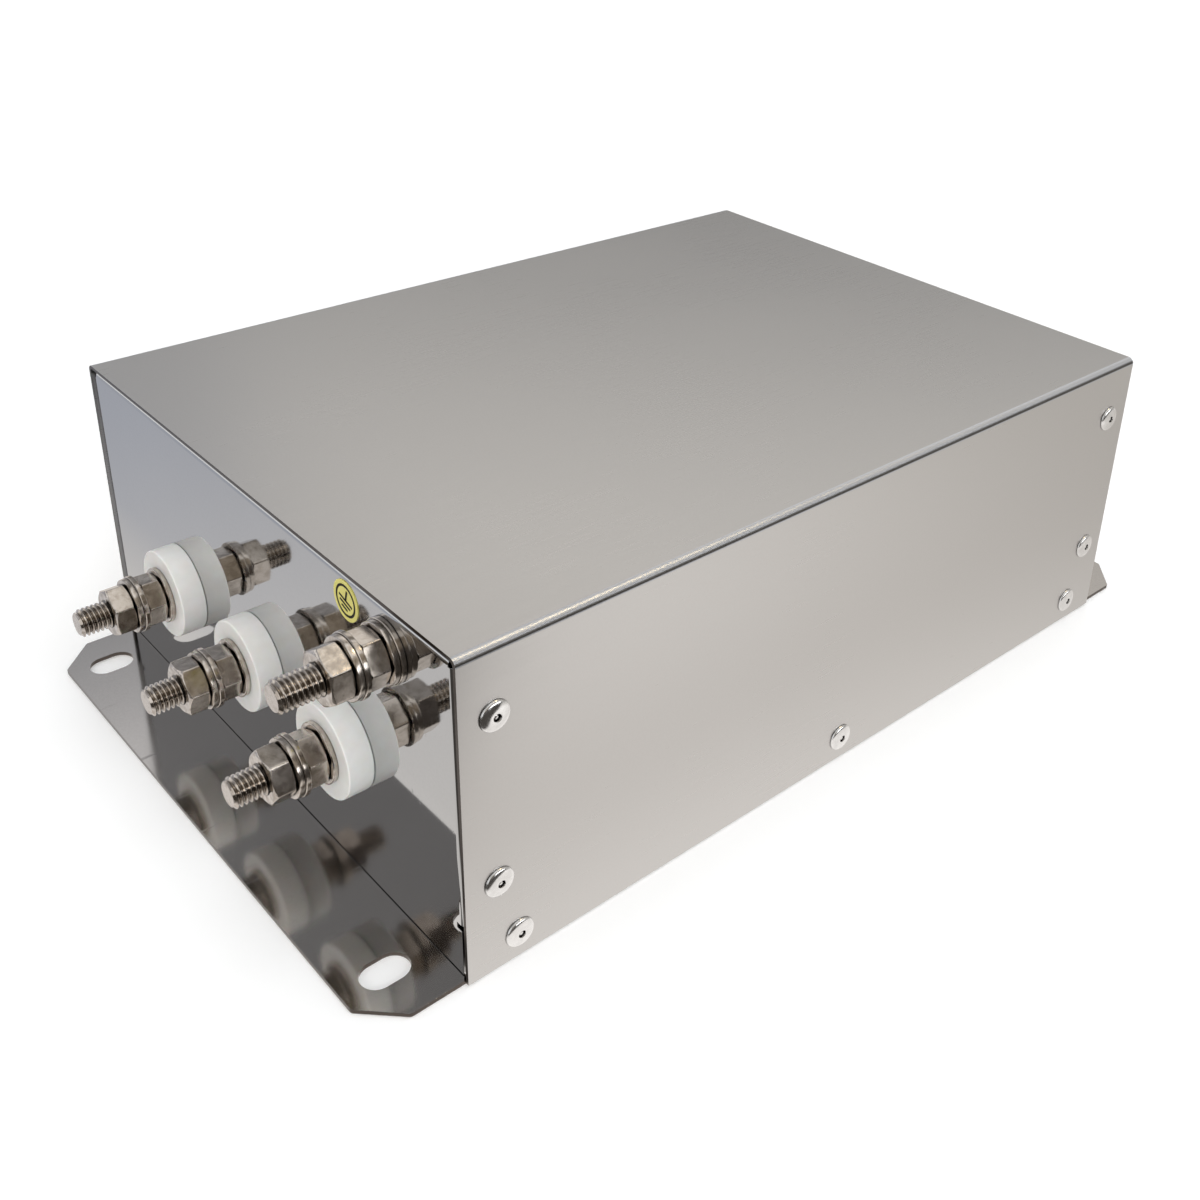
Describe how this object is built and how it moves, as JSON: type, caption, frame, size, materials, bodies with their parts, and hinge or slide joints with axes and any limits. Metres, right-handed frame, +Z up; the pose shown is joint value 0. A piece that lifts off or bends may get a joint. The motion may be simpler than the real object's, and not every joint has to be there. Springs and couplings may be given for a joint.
{
  "type": "emi line filter",
  "caption": "Stud-terminal line filter in a folded sheet-metal case, with mounting flanges and slots at both ends, that keeps high-frequency noise off a power line.",
  "frame": {"origin": "on the underside of the base plate, in the middle of the four mounting slots", "axes": "+Z up from the mounting surface; +X along the case from the line terminals to the load terminals; +Y to the side away from the line end's earth stud"},
  "size_m": [0.3222, 0.1944, 0.094],
  "materials": {
    "cover_sheet": "satin bright sheet, fine even grain",
    "panel_sheet": "bright sheet, almost a mirror",
    "rivet_metal": "bright",
    "terminal_metal": "bright nickel plate, warm tint",
    "insulator_white": "off-white, soft gloss",
    "mark_film": "yellow film with a black ring and earth symbol",
    "core_coat": "dark coated ring cores",
    "winding_wire": "enamelled copper",
    "lug_metal": "tin plate, dull",
    "cradle_plastic": "black, matt",
    "strap_band": "plain steel band",
    "plated_steel": "zinc plate",
    "liner_film": "milky insulating film",
    "board_laminate": "green glass laminate",
    "x_capacitor_case": "yellow moulded case",
    "y_capacitor_case": "blue moulded case",
    "resistor_body": "beige, matt"
  },
  "bodies": {
    "root": {"base_plate": "panel_sheet", "choke_core_1": "core_coat", "choke_core_2": "core_coat", "choke_core_3": "core_coat", "choke_cradle": "cradle_plastic", "choke_straps": "strap_band", "cover": "cover_sheet", "cover_rivets": "rivet_metal", "cradle_nuts": "plated_steel", "cradle_studs": "plated_steel", "discharge_resistors": "resistor_body", "earth_flat_washers": "terminal_metal", "earth_mark": "mark_film", "earth_nuts": "terminal_metal", "earth_spacers": "plated_steel", "earth_spring_washers": "terminal_metal", "insulating_liner": "liner_film", "line_capacitor_board": "board_laminate", "line_earth_stud": "terminal_metal", "line_end_panel": "panel_sheet", "line_inner_insulators": "insulator_white", "line_insulator_1": "insulator_white", "line_insulator_2": "insulator_white", "line_insulator_3": "insulator_white", "line_stud_1": "terminal_metal", "line_stud_2": "terminal_metal", "line_stud_3": "terminal_metal", "line_x_capacitor_1": "x_capacitor_case", "line_x_capacitor_2": "x_capacitor_case", "line_x_capacitor_3": "x_capacitor_case", "line_y_capacitors": "y_capacitor_case", "load_capacitor_board": "board_laminate", "load_earth_stud": "terminal_metal", "load_end_panel": "panel_sheet", "load_inner_insulators": "insulator_white", "load_insulator_1": "insulator_white", "load_insulator_2": "insulator_white", "load_insulator_3": "insulator_white", "load_stud_1": "terminal_metal", "load_stud_2": "terminal_metal", "load_stud_3": "terminal_metal", "load_x_capacitor_1": "x_capacitor_case", "load_x_capacitor_2": "x_capacitor_case", "load_x_capacitor_3": "x_capacitor_case", "load_y_capacitors": "y_capacitor_case", "phase_winding_1": "winding_wire", "phase_winding_2": "winding_wire", "phase_winding_3": "winding_wire", "terminal_flat_washers": "terminal_metal", "terminal_nuts": "terminal_metal", "terminal_spring_washers": "terminal_metal", "winding_lugs": "lug_metal"}
  },
  "joints": []
}
